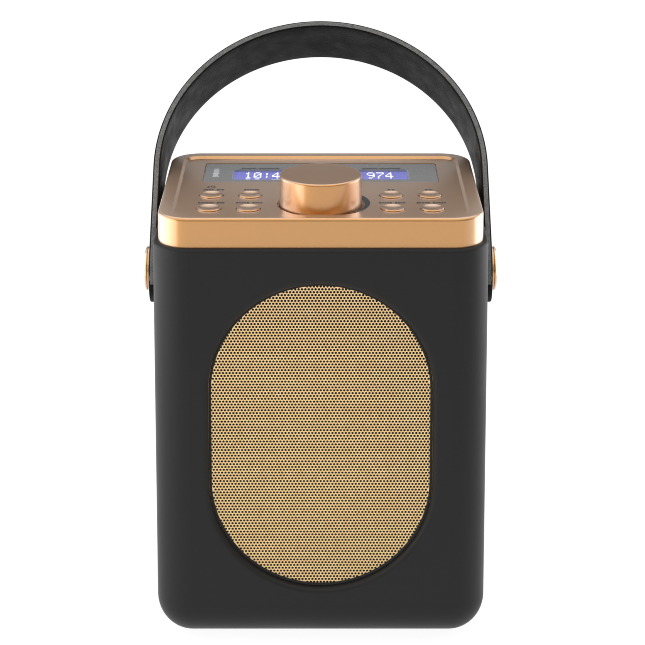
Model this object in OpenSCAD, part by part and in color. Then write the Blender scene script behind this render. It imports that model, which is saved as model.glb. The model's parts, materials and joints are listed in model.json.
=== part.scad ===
// Portable digital radio: smooth black cabinet, copper top with a raised volume knob and eight
// buttons, perforated front grille, and a leather strap handle that swings on two shoulder screws.
// Millimetres. Origin: centre of the resting plane under the foot pad. +Z up, front towards -Y.

/* [Cabinet] */
// Width of the cabinet
body_w = 98; // [97:0.5:101]
// Depth of the cabinet, front to back
body_d = 76; // [75:0.5:79]
// Height of the cabinet shell, without foot pad and top cap
shell_h = 121.2; // [121:0.1:124]
// Radius of the upright corners and of the bottom edge
corner_r = 10.8; // [10:0.1:11.5]
// Wall thickness of the shell
wall = 2.4; // [2.2:0.1:2.5]
// Rounding of the shell's top edge
shell_edge_r = 1.1; // [0.6:0.1:1.3]
// How far the foot pad stands below the shell
foot_proud = 1.3; // [0.5:0.1:1.5]

/* [Top cap] */
// Step from the shell's side in to the cap's side
cap_inset = 1.55; // [1.4:0.05:1.7]
// Height of the cap above the shell
cap_h = 8.8; // [8.6:0.1:9.2]
// Rounding of the cap's top edge
cap_edge_r = 0.9; // [0.5:0.1:1.1]
// Width of the raised rim around the control field
rim_w = 4; // [3.6:0.1:4.2]
// Depth of the control field below the rim
field_drop = 0.8; // [0.6:0.05:0.9]
// Thickness of the cap's plate under the field
cap_plate = 2; // [1.9:0.05:2.1]

/* [Display] */
// Width of the display window
window_w = 72.6; // [70:0.2:73]
// Length of the display window, front to back
window_l = 21.1; // [20:0.1:21.4]
// Distance of the window's centre behind the cabinet's centre
window_y = 15.7; // [15.4:0.1:16]
// Width of the clear opening over the liquid crystal panel
lcd_w = 54; // [50:0.5:54]
// Length of the clear opening
lcd_l = 11.2; // [10:0.1:13]
// Distance of the clear opening's centre behind the cabinet's centre
lcd_y = 13.6; // [13:0.1:14]

/* [Knob and buttons] */
// Diameter of the volume knob
knob_d = 24.3; // [23:0.1:24.4]
// Height of the knob above the cap's rim
knob_h = 8.4; // [8:0.1:9]
// Diameter of the hole around the knob
knob_hole_d = 25.7; // [25.5:0.1:26]
// Distance of the knob's axis in front of the cabinet's centre
knob_y = 18.9; // [18.6:0.1:19.1]
// How far the knob pushes down
knob_travel = 0.5; // [0.3:0.05:0.5]
// Diameter of a button
button_d = 7.04; // [6.8:0.02:7.04]
// Height of a button above the field
button_h = 0.45; // [0.4:0.05:0.7]
// Distance of the inner button columns from the middle
button_x_in = 21.15; // [20.9:0.05:21.4]
// Distance of the outer button columns from the middle
button_x_out = 32.75; // [32.5:0.05:33]
// Distance of the front button row in front of the cabinet's centre
button_y_front = 23.6; // [23.4:0.1:23.8]
// Distance of the back button row in front of the cabinet's centre
button_y_back = 9.7; // [9.5:0.1:9.9]
// How far a button pushes down
button_travel = 0.4; // [0.3:0.05:0.4]

/* [Grille] */
// Width of the grille opening, which is twice the radius of its round ends
grille_w = 65.6; // [62:0.2:66]
// Height of the grille opening
grille_h = 93.6; // [90:0.2:94]
// Height of the opening's centre above the resting plane
grille_z = 65; // [64.5:0.1:66]
// Rounding of the opening's front edge
grille_edge_r = 1.6; // [1:0.1:1.7]

/* [Handle] */
// Width of the strap
strap_w = 20.4; // [19:0.2:21]
// Thickness of the strap
strap_t = 2.2; // [2:0.1:2.3]
// Radius of the arch's outer face
arch_r = 52; // [51.9:0.1:52.3]
// Straight length from the pivot to the start of the arch
leg_l = 30.3; // [29:0.1:32]
// Straight length past the pivot, before the round end
strap_tail = 0; // [0:0.2:3]
// Height of the pivot above the resting plane
pivot_z = 104.5; // [104:0.1:105]
// Backward tilt of the strap at rest, in degrees from upright
strap_tilt = 42; // [36:1:44]
// Diameter of a strap screw's head
strap_head_d = 13.4; // [13:0.2:15]

/* [Aerial] */
// Distance of the aerial's pivot to the right of the middle
aerial_x = 31.5; // [31:0.1:32]
// Height of the aerial's pivot
aerial_z = 96; // [95:0.5:97]
// Length of each telescopic stage
stage_l = 56; // [50:1:56]

/* [Hidden] */
$fn = 96;

// heights and faces that the parts share
shell_top = foot_proud + shell_h;
rim_z = shell_top + cap_h;
field_z = rim_z - field_drop;
plate_z = field_z - cap_plate;
floor_z = foot_proud + wall;
inner_x = body_w / 2 - wall;
inner_y = body_d / 2 - wall;
inner_r = corner_r - wall;
cap_w = body_w - 2 * cap_inset;
cap_d = body_d - 2 * cap_inset;
cap_r = corner_r - cap_inset;
cap_wall = 2;
gap = 0.05;
overshoot = 1;

copper = [0.79, 0.59, 0.40];
soft_black = [0.16, 0.16, 0.16];
gold = [0.93, 0.76, 0.48];
steel = [0.72, 0.72, 0.74];
board_green = [0.10, 0.35, 0.20];
plastic_black = [0.08, 0.08, 0.09];

// ---------------------------------------------------------------- shared shapes

// Outline from the axis out to r, between z0 and z1, with its outer corners rounded
module edge_profile(r, z0, z1, bottom_r, top_r) {
  translate([0, z0 + bottom_r]) square([r, z1 - z0 - bottom_r - top_r]);
  if (bottom_r > 0) {
    translate([r - bottom_r, z0 + bottom_r]) intersection() {
      circle(bottom_r);
      translate([0, -bottom_r]) square(bottom_r);
    }
    if (r - bottom_r > gap) translate([0, z0]) square([r - bottom_r, bottom_r]);
  }
  if (top_r > 0) {
    translate([r - top_r, z1 - top_r]) intersection() {
      circle(top_r);
      square(top_r);
    }
    translate([0, z1 - top_r]) square([r - top_r, top_r]);
  }
}

// Solid with a rounded-rectangle plan w by d, whose edge follows the child outline all round
module swept_block(w, d, r, z0, z1) {
  x = w / 2 - r;
  y = d / 2 - r;
  corners = [[x, y], [-x, y], [-x, -y], [x, -y]];
  for (i = [0:3]) {
    side = i % 2 == 0 ? x : y;
    run = i % 2 == 0 ? 2 * y : 2 * x;
    translate([corners[i].x, corners[i].y, 0]) rotate([0, 0, 90 * i])
      rotate_extrude(angle = 90) children();
    rotate([0, 0, 90 * i]) translate([side, run / 2, 0]) rotate([90, 0, 0])
      linear_extrude(run) children();
  }
  translate([-x, -y, z0]) cube([2 * x, 2 * y, z1 - z0]);
}

// Plain block with a rounded-rectangle plan
module plan_block(w, d, r, z0, z1) {
  translate([0, 0, z0]) linear_extrude(z1 - z0) rounded_plan(w, d, r);
}

module rounded_plan(w, d, r) {
  square([w - 2 * r, d], center = true);
  square([w, d - 2 * r], center = true);
  for (sx = [-1, 1], sy = [-1, 1]) translate([sx * (w / 2 - r), sy * (d / 2 - r)]) circle(r);
}

// Upright stadium outline: two round ends of radius r joined by straight sides
module stadium(r, h) {
  straight = h / 2 - r;
  square([2 * r, 2 * straight], center = true);
  for (s = [-1, 1]) translate([0, s * straight]) circle(r);
}

// Extrudes an X-Z outline from y0 to y1
module along_y(y0, y1) {
  translate([0, y1, 0]) rotate([90, 0, 0]) linear_extrude(y1 - y0) children();
}

// Rod along Y between y0 and y1
module rod_y(r, y0, y1) {
  translate([0, y1, 0]) rotate([90, 0, 0]) cylinder(r = r, h = y1 - y0);
}

// Rod along X between x0 and x1
module rod_x(r, x0, x1) {
  translate([x0, 0, 0]) rotate([0, 90, 0]) cylinder(r = r, h = x1 - x0);
}

module tube(r_out, r_in, z0, z1) {
  difference() {
    translate([0, 0, z0]) cylinder(r = r_out, h = z1 - z0);
    translate([0, 0, z0 - overshoot]) cylinder(r = r_in, h = z1 - z0 + 2 * overshoot);
  }
}

// Cross-head screw: head above z = 0, shank below
module screw(head_r, head_h, shank_r, shank_l) {
  slot_w = head_r * 0.32;
  slot_l = head_r * 1.2;
  slot_d = head_h * 0.5;
  difference() {
    cylinder(r = head_r, h = head_h);
    for (a = [0, 90]) rotate([0, 0, a])
      translate([-slot_l / 2, -slot_w / 2, head_h - slot_d]) cube([slot_l, slot_w, slot_d + overshoot]);
  }
  translate([0, 0, -shank_l]) cylinder(r = shank_r, h = shank_l);
}

module at_each(places) {
  for (p = places) translate(p) children();
}

// ---------------------------------------------------------------- cabinet

foot_w = 68;
foot_d = 46;
foot_r = 8;
foot_recess = 1.2;
fit = 0.2;

rear_w = 80;
rear_z0 = 14;
rear_z1 = 116;
rear_r = 6;
rear_t = 2.2;
ledge_in = 3;
ledge_t = 2.4;
rear_screw_x = 36.5;
rear_screw_inset = 4.5;
rear_screw_places = [for (sx = [-1, 1], z = [rear_z0 + rear_screw_inset, rear_z1 - rear_screw_inset])
  [sx * rear_screw_x, 0, z]];
rear_mid_z = (rear_z0 + rear_z1) / 2;
rear_h = rear_z1 - rear_z0;
ledge_y0 = inner_y - ledge_t;
rear_boss_l = 8;
rear_boss_r = 3.2;
pilot_r = 1.1;
shank_r = 1.08;
clear_r = 1.35;

baffle_x = 36.5;
baffle_post_r = 3;
grille_t = 0.6;
cloth_t = 0.3;
baffle_t = 3;
baffle_front = -inner_y + grille_t + cloth_t;
baffle_back = baffle_front + baffle_t;
baffle_places = [for (sx = [-1, 1], z = [15.5, 114.5]) [sx * baffle_x, 0, z]];

bracket_z1 = 116.5;
bracket_t = 3;
cap_boss_x = 41;
cap_boss_y = 24;
cap_boss_r = 2.8;
cap_boss_places = [for (sx = [-1, 1], sy = [-1, 1]) [sx * cap_boss_x, sy * cap_boss_y, 0]];

tray_lug_x = 39.5;
tray_y = 7;
tray_lug_z = floor_z + 2;
tray_lug_t = 1.5;

strap_hole_r = 2.1;

module grille_flare() {
  r = grille_w / 2;
  straight = grille_h / 2 - r;
  translate([0, -body_d / 2, grille_z]) rotate([90, 0, 0]) {
    for (s = [0, 1]) rotate([0, 0, 180 * s]) {
      translate([0, straight, 0]) rotate_extrude(angle = 180) translate([r, 0]) flare_outline();
      translate([r, straight, 0]) rotate([90, 0, 0]) linear_extrude(2 * straight) flare_outline();
    }
  }
}

// What the rounding takes from the opening's edge: x outwards, y towards the viewer
module flare_outline() {
  difference() {
    translate([-gap, -grille_edge_r]) square([grille_edge_r + gap, grille_edge_r + overshoot]);
    translate([grille_edge_r, -grille_edge_r]) circle(grille_edge_r);
  }
}

module cabinet_shell() {
  color(soft_black) {
    difference() {
      union() {
        difference() {
          swept_block(body_w, body_d, corner_r, foot_proud, shell_top)
            edge_profile(corner_r, foot_proud, shell_top, corner_r, shell_edge_r);
          swept_block(2 * inner_x, 2 * inner_y, inner_r, floor_z, shell_top + overshoot)
            edge_profile(inner_r, floor_z, shell_top + overshoot, inner_r, 0);
        }
        rear_ledge();
        at_each(rear_screw_places) rod_y(rear_boss_r, inner_y - rear_boss_l, inner_y);
        at_each(baffle_places) rod_y(baffle_post_r, -inner_y - overshoot, baffle_back);
        cap_brackets();
        tray_bosses();
      }
      translate([0, 0, rear_mid_z]) along_y(inner_y, body_d / 2 + overshoot)
        rounded_plan(rear_w, rear_h, rear_r);
      at_each(rear_screw_places) rod_y(pilot_r, inner_y - rear_boss_l + overshoot, inner_y + overshoot);
      translate([0, 0, grille_z]) along_y(-body_d / 2 - overshoot, -inner_y + gap)
        stadium(grille_w / 2, grille_h);
      grille_flare();
      at_each(baffle_places) rod_y(pilot_r, baffle_back - 5, baffle_back + overshoot);
      plan_block(foot_w, foot_d, foot_r, foot_proud - overshoot, foot_proud + foot_recess);
      translate([0, 0, pivot_z]) rod_x(strap_hole_r, -body_w, body_w);
      at_each(cap_boss_places) translate([0, 0, bracket_z1 - bracket_t - overshoot])
        cylinder(r = clear_r, h = bracket_t + 2 * overshoot);
      for (s = [-1, 1]) translate([s * tray_lug_x, tray_y, foot_proud + foot_recess])
        cylinder(r = pilot_r, h = tray_lug_z);
    }
  }
}

module rear_ledge() {
  translate([0, 0, rear_mid_z]) along_y(ledge_y0, inner_y) difference() {
    rounded_plan(rear_w + 4, rear_h + 4, rear_r);
    rounded_plan(rear_w - 2 * ledge_in, rear_h - 2 * ledge_in, rear_r - ledge_in);
  }
}

// Small shelves in the upper corners that the cap is screwed down to
module cap_brackets() {
  bracket_l = 7;
  bracket_x0 = 37.5;
  for (p = cap_boss_places) translate([sign(p.x) > 0 ? bracket_x0 : -inner_x - 0.7,
    p.y - bracket_l / 2, bracket_z1 - bracket_t]) cube([inner_x + 0.7 - bracket_x0, bracket_l, bracket_t]);
}

module tray_bosses() {
  for (s = [-1, 1]) translate([s * tray_lug_x, tray_y, floor_z - overshoot])
    cylinder(r = 3, h = tray_lug_z - floor_z + overshoot);
}

module foot_pad() {
  color(plastic_black) plan_block(foot_w - fit, foot_d - fit, foot_r - fit / 2, 0, foot_proud + foot_recess);
}

post_r = 3;
board_front = 21.5;
board_t = 1.6;
board_back = board_front + board_t;
board_x = 34;
board_z0 = 42;
board_z1 = 108;
board_post_x = 30;
board_post_places = [for (sx = [-1, 1], z = [board_z0 + 4, board_z1 - 4]) [sx * board_post_x, 0, z]];
small_pilot_r = 0.92;
small_shank_r = 0.9;

jack_z = 60;
headphone_x = -22;
line_x = -6;
usb_x = 12;
jack_barrel_r = 2.9;
jack_hole_r = 3.05;
usb_w = 9;
usb_h = 3.2;
aerial_bush_r = 2.5;

module rear_panel() {
  panel_back = inner_y + rear_t;
  color(soft_black) difference() {
    union() {
      translate([0, 0, rear_mid_z]) along_y(inner_y, panel_back)
        rounded_plan(rear_w - 2 * fit, rear_h - 2 * fit, rear_r - fit);
      at_each(board_post_places) rod_y(post_r, board_back, inner_y);
    }
    at_each(rear_screw_places) {
      rod_y(clear_r, 0, body_d);
      rod_y(2.6, panel_back - 1.4, body_d);
    }
    at_each(board_post_places) rod_y(small_pilot_r, board_back - overshoot, board_back + 6);
    for (x = [headphone_x, line_x]) translate([x, 0, jack_z]) rod_y(jack_hole_r, 0, body_d);
    translate([usb_x, 0, jack_z]) along_y(inner_y - overshoot, body_d)
      rounded_plan(usb_w + 2 * fit, usb_h + 2 * fit, usb_h / 2);
    translate([aerial_x, 0, aerial_z]) rod_y(aerial_bush_r + gap, 0, body_d);
  }
}

module rear_screws() {
  color(steel) at_each(rear_screw_places) translate([0, inner_y + rear_t - 1.4, 0]) rotate([-90, 0, 0])
    screw(2.4, 1.4, shank_r, 6.5);
}

// ---------------------------------------------------------------- grille and loudspeaker

grille_lap = 2;
driver_z = 88.5;
passive_z = 37;
driver_hole_r = 23;
passive_hole_r = 18;
passive_roll_in = 14;
passive_roll_out = 18.2;
driver_flange_r = 28.5;
passive_flange_r = 22;
driver_screw_r = 26.9;
passive_screw_r = 20.1;
screw_angles = [45:90:315];
unit_pilot_r = 0.85;
unit_pilot_l = 2.6;
unit_clear_r = 0.95;

module front_grille() {
  color(gold) translate([0, 0, grille_z]) along_y(-inner_y, -inner_y + grille_t)
    stadium(grille_w / 2 + grille_lap, grille_h + 2 * grille_lap);
}

module grille_cloth() {
  color(plastic_black) translate([0, 0, grille_z]) along_y(-inner_y + grille_t, baffle_front)
    stadium(grille_w / 2 + grille_lap, grille_h + 2 * grille_lap);
}

module speaker_baffle() {
  baffle_w = 81;
  baffle_z0 = 9;
  baffle_z1 = 118;
  color(plastic_black) difference() {
    translate([0, 0, (baffle_z0 + baffle_z1) / 2]) along_y(baffle_front, baffle_back)
      rounded_plan(baffle_w, baffle_z1 - baffle_z0, 4);
    at_each(baffle_places) rod_y(baffle_post_r + 0.15, -body_d, 0);
    translate([0, 0, driver_z]) rod_y(driver_hole_r, -body_d, 0);
    translate([0, 0, passive_z]) rod_y(passive_hole_r, -body_d, 0);
    ring_of_holes(driver_z, driver_screw_r);
    ring_of_holes(passive_z, passive_screw_r);
  }
}

module ring_of_holes(z, ring_r) {
  for (a = screw_angles) translate([ring_r * cos(a), 0, z + ring_r * sin(a)])
    rod_y(unit_pilot_r, baffle_back - unit_pilot_l, 0);
}

module case_screws() {
  color(steel) {
    at_each(baffle_places) translate([0, baffle_back, 0]) rotate([-90, 0, 0]) case_screw();
    for (s = [-1, 1]) translate([s * tray_lug_x, tray_y, tray_lug_z + tray_lug_t]) case_screw();
  }
}

module case_screw() {
  screw(3.6, 1.6, shank_r, 4.5);
}

// Local frame of a cone unit: its mounting face at 0, +Z out of the front of the cabinet
module at_unit(z) {
  translate([0, baffle_back, z]) rotate([90, 0, 0]) children();
}

// heights in a cone unit's own frame, and radii of the driver's moving parts
flange_t = 1.5;
roll_z = -1.2;
lip_z = -1.6;
cone_lip_z = -2.1;
coil_top = -12.6;
basket_depth = 15.5;
driver_roll_in = 19;
driver_roll_out = 23.2;
lip_lap = 0.4;
neck_r = 6.4;
coil_r_out = neck_r - 0.1;
lead_x = [-26.2, -24.6];
tab_l = 6;

// Clearance holes of a cone unit's flange
module flange_holes(ring_r) {
  for (a = screw_angles) rotate([0, 0, a]) translate([ring_r, 0, -flange_t - overshoot])
    cylinder(r = unit_clear_r, h = flange_t + 2 * overshoot);
}

// Conical chassis with four windows between its legs, and two solder tabs
module speaker_basket() {
  rim_r = 25;
  base_r = 16.5;
  leg_t = 2;
  hub_hole_r = 9;
  window_w = 16;
  window_z0 = -12.5;
  window_z1 = -3.5;
  tab = [0.8, 2];
  color(steel) at_unit(driver_z) {
    difference() {
      rotate_extrude() {
        translate([driver_roll_out, -flange_t]) square([driver_flange_r - driver_roll_out, flange_t]);
        polygon([[driver_roll_out + lip_lap, -flange_t], [rim_r, -flange_t], [base_r, -basket_depth],
          [base_r - leg_t, -basket_depth + flange_t]]);
        translate([hub_hole_r, -basket_depth]) square([base_r - hub_hole_r, flange_t]);
      }
      for (a = [0, 90]) rotate([0, 0, a]) translate([-window_w / 2, -driver_flange_r, window_z0])
        cube([window_w, 2 * driver_flange_r, window_z1 - window_z0]);
      flange_holes(driver_screw_r);
    }
    for (x = lead_x) translate([x - tab.x / 2, -tab.y / 2, -tab_l])
      cube([tab.x, tab.y, tab_l - flange_t + gap]);
  }
}

// Ring magnet with its top plate, and the gap that the voice coil moves in
module speaker_magnet() {
  magnet_r = 17;
  magnet_h = 7.5;
  top_plate_r = 15;
  top_plate_t = 1.5;
  coil_gap = 0.3;
  coil_gap_in = 5.4;
  coil_gap_depth = 6.5;
  top = -basket_depth;
  color([0.25, 0.25, 0.27]) at_unit(driver_z) difference() {
    union() {
      translate([0, 0, top - top_plate_t - magnet_h]) cylinder(r = magnet_r, h = magnet_h);
      translate([0, 0, top - top_plate_t]) cylinder(r = top_plate_r, h = top_plate_t);
    }
    tube(coil_r_out + coil_gap, coil_gap_in, top - coil_gap_depth, top + overshoot);
  }
}

module voice_coil() {
  coil_t = 0.7;
  coil_l = 7.4;
  color([0.75, 0.45, 0.25]) at_unit(driver_z)
    tube(coil_r_out, coil_r_out - coil_t, coil_top - coil_l, coil_top);
}

module speaker_cone() {
  mouth_r = driver_roll_in - 1;
  lip_r = driver_roll_in + lip_lap;
  neck_z = coil_top - 0.4;
  color([0.18, 0.18, 0.19]) at_unit(driver_z) rotate_extrude()
    polygon([[neck_r, neck_z - 0.6], [neck_r, neck_z], [mouth_r, lip_z], [lip_r, lip_z],
      [lip_r, cone_lip_z], [mouth_r, cone_lip_z]]);
}

// Half-round rubber roll between two radii, with a flat lip on each side
module roll_ring(r_in, r_out) {
  mid = (r_in + r_out) / 2;
  roll = (r_out - r_in) / 2;
  rotate_extrude() {
    translate([mid, roll_z]) intersection() {
      difference() {
        circle(roll);
        circle(roll - lip_lap);
      }
      translate([-roll, 0]) square([2 * roll, roll]);
    }
    translate([r_in - lip_lap, lip_z]) square([2 * lip_lap, roll_z - lip_z]);
    translate([r_out - lip_lap, lip_z]) square([lip_lap, roll_z - lip_z]);
  }
}

module speaker_surround() {
  color(plastic_black) at_unit(driver_z) roll_ring(driver_roll_in, driver_roll_out);
}

module dust_cap() {
  dome_r = 7.4;
  dome_t = 0.5;
  dome_h = 3.5;
  color([0.18, 0.18, 0.19]) at_unit(driver_z) intersection() {
    translate([0, 0, coil_top + dome_h - dome_r]) difference() {
      sphere(dome_r);
      sphere(dome_r - dome_t);
    }
    translate([0, 0, coil_top]) cylinder(r = neck_r - gap, h = dome_r);
  }
}

module passive_frame() {
  color(plastic_black) at_unit(passive_z) difference() {
    tube(passive_flange_r, passive_roll_out, -flange_t, 0);
    flange_holes(passive_screw_r);
  }
}

module passive_surround() {
  color(plastic_black) at_unit(passive_z) roll_ring(passive_roll_in, passive_roll_out);
}

module passive_plate() {
  weight_r = 6;
  weight_h = 2;
  color(steel) at_unit(passive_z) {
    translate([0, 0, cone_lip_z]) cylinder(r = passive_roll_in + lip_lap, h = lip_z - cone_lip_z);
    translate([0, 0, cone_lip_z - weight_h]) cylinder(r = weight_r, h = weight_h);
  }
}

module unit_screws(z, ring_r) {
  at_unit(z) for (a = screw_angles)
    translate([ring_r * cos(a), ring_r * sin(a), -flange_t]) rotate([180, 0, 0])
      screw(1.4, 1, 0.8, 3.8);
}

module speaker_screws() {
  color(steel) {
    unit_screws(driver_z, driver_screw_r);
    unit_screws(passive_z, passive_screw_r);
  }
}

// Quarter turn of round wire, from running along Y to running down
module bend(bend_r, wire_r) {
  rotate([0, -90, 0]) rotate_extrude(angle = 90) translate([bend_r, 0]) circle(wire_r);
}

// Two insulated wires from the loudspeaker's tabs back to the main board, with a step down half way
module speaker_leads() {
  lead_r = 0.6;
  bend_r = 2;
  bend_y = 6;
  drop = 6;
  color([0.75, 0.12, 0.10]) for (x = lead_x) translate([x, 0, driver_z]) {
    rod_y(lead_r, baffle_back + tab_l, bend_y);
    translate([0, bend_y, -bend_r]) bend(bend_r, lead_r);
    translate([0, bend_y + bend_r, bend_r - drop]) cylinder(r = lead_r, h = drop - 2 * bend_r);
    translate([0, bend_y + 2 * bend_r, bend_r - drop]) rotate([180, 0, 0]) bend(bend_r, lead_r);
    translate([0, 0, -drop]) rod_y(lead_r, bend_y + 2 * bend_r, board_front);
  }
}

// ---------------------------------------------------------------- top cap, display and controls

lip_d = 3;
lip_t = 1.55;
lip_fit = 0.15;
well_t = 1.5;
well_floor_z0 = plate_z - 1.5;
well_floor_z1 = plate_z - 0.1;
pocket_d = 0.7;
control_z1 = plate_z - 8;
control_z0 = control_z1 - board_t;
control_w = 74;
control_d = 62;
control_post_r = 2.2;
bushing_r = 3.5;
button_fit = 0.15;
board_screw_l = 4.5;
cap_screw_l = 10.5;
control_post_places = [[-27, -16.6, 0], [27, -16.6, 0], [-33.5, 28.5, 0], [33.5, 28.5, 0]];
lcd_open_w = 58;
lcd_open_l = 16;

button_names = [
  ["left_outer_front", -button_x_out, -button_y_front],
  ["left_inner_front", -button_x_in, -button_y_front],
  ["right_inner_front", button_x_in, -button_y_front],
  ["right_outer_front", button_x_out, -button_y_front],
  ["left_outer_back", -button_x_out, -button_y_back],
  ["left_inner_back", -button_x_in, -button_y_back],
  ["right_inner_back", button_x_in, -button_y_back],
  ["right_outer_back", button_x_out, -button_y_back]
];
button_places = [for (b = button_names) [b[1], b[2], 0]];

// Outline whose lower outer corner is bevelled, for the recess of the control field
module bevel_profile(r, z0, bevel, z1) {
  polygon([[0, z0], [r - bevel, z0], [r, z0 + bevel], [r, z1], [0, z1]]);
}

module top_cap() {
  color(copper) {
    difference() {
      union() {
        difference() {
          swept_block(cap_w, cap_d, cap_r, shell_top, rim_z)
            edge_profile(cap_r, shell_top, rim_z, 0, cap_edge_r);
          plan_block(cap_w - 2 * cap_wall, cap_d - 2 * cap_wall, cap_r - cap_wall,
            shell_top - overshoot, plate_z);
        }
        locating_lip();
        translate([0, -knob_y, 0]) knob_well();
        at_each(control_post_places) translate([0, 0, control_z1])
          cylinder(r = control_post_r, h = plate_z + gap - control_z1);
        at_each(cap_boss_places) translate([0, 0, bracket_z1])
          cylinder(r = cap_boss_r, h = plate_z + gap - bracket_z1);
      }
      swept_block(cap_w - 2 * rim_w, cap_d - 2 * rim_w, cap_r - rim_w, field_z, rim_z + overshoot)
        bevel_profile(cap_r - rim_w, field_z, field_drop, rim_z + overshoot);
      translate([0, -knob_y, well_floor_z1]) cylinder(r = knob_hole_d / 2, h = cap_h);
      translate([0, -knob_y, shell_top]) cylinder(r = bushing_r + 0.1, h = cap_h);
      at_each(button_places) translate([0, 0, plate_z - overshoot])
        cylinder(r = button_d / 2 + button_fit, h = cap_plate + 2 * overshoot);
      translate([0, window_y, 0])
        plan_block(window_w + fit, window_l + fit, 0.8, field_z - pocket_d, rim_z + overshoot);
      translate([0, lcd_y, 0]) plan_block(lcd_open_w, lcd_open_l, 0.8, plate_z - overshoot, rim_z);
      at_each(control_post_places) translate([0, 0, control_z1 - overshoot])
        cylinder(r = small_pilot_r, h = board_screw_l + overshoot);
      at_each(cap_boss_places) translate([0, 0, bracket_z1 - overshoot])
        cylinder(r = pilot_r, h = cap_screw_l - bracket_t + 2 * overshoot);
    }
  }
}

// Cup around the knob's foot, whose floor carries the encoder's bushing
module knob_well() {
  r = knob_hole_d / 2;
  tube(r + well_t, r, well_floor_z0, plate_z + gap);
  translate([0, 0, well_floor_z0]) cylinder(r = r + well_t, h = well_floor_z1 - well_floor_z0);
}

// Lip under the cap that locates it inside the shell
module locating_lip() {
  w = 2 * (inner_x - lip_fit);
  d = 2 * (inner_y - lip_fit);
  r = inner_r - lip_fit;
  difference() {
    plan_block(w, d, r, shell_top - lip_d, shell_top + overshoot);
    plan_block(w - 2 * lip_t, d - 2 * lip_t, r - lip_t,
      shell_top - lip_d - overshoot, shell_top + 2 * overshoot);
  }
}

module cap_screws() {
  color(steel) at_each(cap_boss_places) translate([0, 0, bracket_z1 - bracket_t]) rotate([180, 0, 0])
    screw(2.5, 1.6, shank_r, cap_screw_l);
}

module display_window() {
  color([0.5, 0.5, 0.5]) difference() {
    translate([0, window_y, 0]) plan_block(window_w, window_l, 0.7, field_z - pocket_d, field_z - 0.1);
    translate([0, lcd_y, 0]) plan_block(lcd_w, lcd_l, 0.3, field_z - pocket_d - overshoot, rim_z);
  }
}

module display_lens() {
  color([0.8, 0.85, 0.9, 0.3]) translate([0, lcd_y, 0])
    plan_block(lcd_w - 0.1, lcd_l - 0.1, 0.25, field_z - pocket_d, field_z - 0.2);
}

lcd_glass_t = 2.15;
lcd_glass_z1 = field_z - pocket_d - 0.02;
lcd_glass_z0 = lcd_glass_z1 - lcd_glass_t;
backlight_t = 3;

module lcd_glass() {
  color([0.41, 0.41, 0.75]) translate([0, lcd_y, 0])
    plan_block(lcd_open_w - 2, lcd_open_l - 1.6, 0.3, lcd_glass_z0, lcd_glass_z1);
}

module lcd_backlight() {
  color([0.9, 0.92, 0.95]) translate([0, lcd_y, 0])
    plan_block(lcd_open_w, lcd_open_l, 0.5, lcd_glass_z0 - backlight_t, lcd_glass_z0);
}

module lcd_carrier() {
  color(plastic_black) translate([0, lcd_y, 0]) difference() {
    plan_block(lcd_open_w + 4, lcd_open_l + 4, 1, control_z1, lcd_glass_z0);
    plan_block(lcd_open_w + fit, lcd_open_l + fit, 0.6, lcd_glass_z0 - backlight_t, rim_z);
  }
}

module control_board() {
  color(board_green) difference() {
    plan_block(control_w, control_d, 2, control_z0, control_z1);
    at_each(control_post_places) translate([0, 0, control_z0 - overshoot])
      cylinder(r = 1, h = board_t + 2 * overshoot);
  }
}

module board_screws() {
  color(steel) {
    at_each(control_post_places) translate([0, 0, control_z0]) rotate([180, 0, 0]) board_screw();
    at_each(board_post_places) translate([0, board_front, 0]) rotate([90, 0, 0]) board_screw();
  }
}

module board_screw() {
  screw(2.2, 1.2, small_shank_r, board_t + board_screw_l);
}

switch_h = 3.5;
stem_z0 = plate_z - 5.1;

module tact_switches() {
  color(plastic_black) at_each(button_places) difference() {
    translate([-3, -3, control_z1]) cube([6, 6, switch_h]);
    translate([0, 0, stem_z0 - button_travel - fit]) cylinder(r = 1.6, h = switch_h);
  }
}

module ribbon_cable() {
  ribbon_w = 14;
  ribbon_t = 0.4;
  color([0.85, 0.85, 0.8]) translate([-20, board_front - ribbon_t, board_z1 - 8])
    cube([ribbon_w, ribbon_t, control_z0 - board_z1 + 8]);
}

// A button: dished top, straight side, a flange that keeps it in the cap, and a stem
module button(i) {
  r = button_d / 2;
  rim = 0.42;
  dish = 0.45;
  chamfer = 0.25;
  dish_r = r - rim;
  sphere_r = (dish_r * dish_r + dish * dish) / (2 * dish);
  top = field_z + button_h;
  flange_z = plate_z - 0.8;
  color(copper) translate([button_names[i][1], button_names[i][2], 0]) difference() {
    rotate_extrude() {
      polygon([[0, flange_z], [r, flange_z], [r, top - chamfer], [r - chamfer, top], [0, top]]);
      translate([0, flange_z]) square([r + 0.85, plate_z - gap - flange_z]);
      translate([0, stem_z0]) square([1.3, 5]);
    }
    translate([0, 0, top - dish + sphere_r]) sphere(sphere_r);
  }
}

module encoder_body() {
  size = 12;
  cavity_z = plunger_z0 - knob_travel - 0.1;
  color(steel) translate([0, -knob_y, 0]) difference() {
    union() {
      translate([-size / 2, -size / 2, control_z1]) cube([size, size, well_floor_z0 - control_z1]);
      translate([0, 0, control_z1 + 1]) cylinder(r = bushing_r, h = well_floor_z1 + 3 - control_z1 - 1);
    }
    translate([0, 0, cavity_z]) cylinder(r = shaft_r + gap, h = 20);
  }
}

shaft_r = 3;
plunger_z0 = control_z1 + 1;
shaft_z0 = plunger_z0 + 0.7;
knob_z0 = field_z - 1.5;
knob_z1 = rim_z + knob_h;
knob_ceiling = knob_z1 - 3.2;

module encoder_nut() {
  color(steel) translate([0, -knob_y, well_floor_z1]) difference() {
    cylinder(r = 5.77, h = 2, $fn = 6);
    translate([0, 0, -overshoot]) cylinder(r = bushing_r + gap, h = 4);
  }
}

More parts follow.
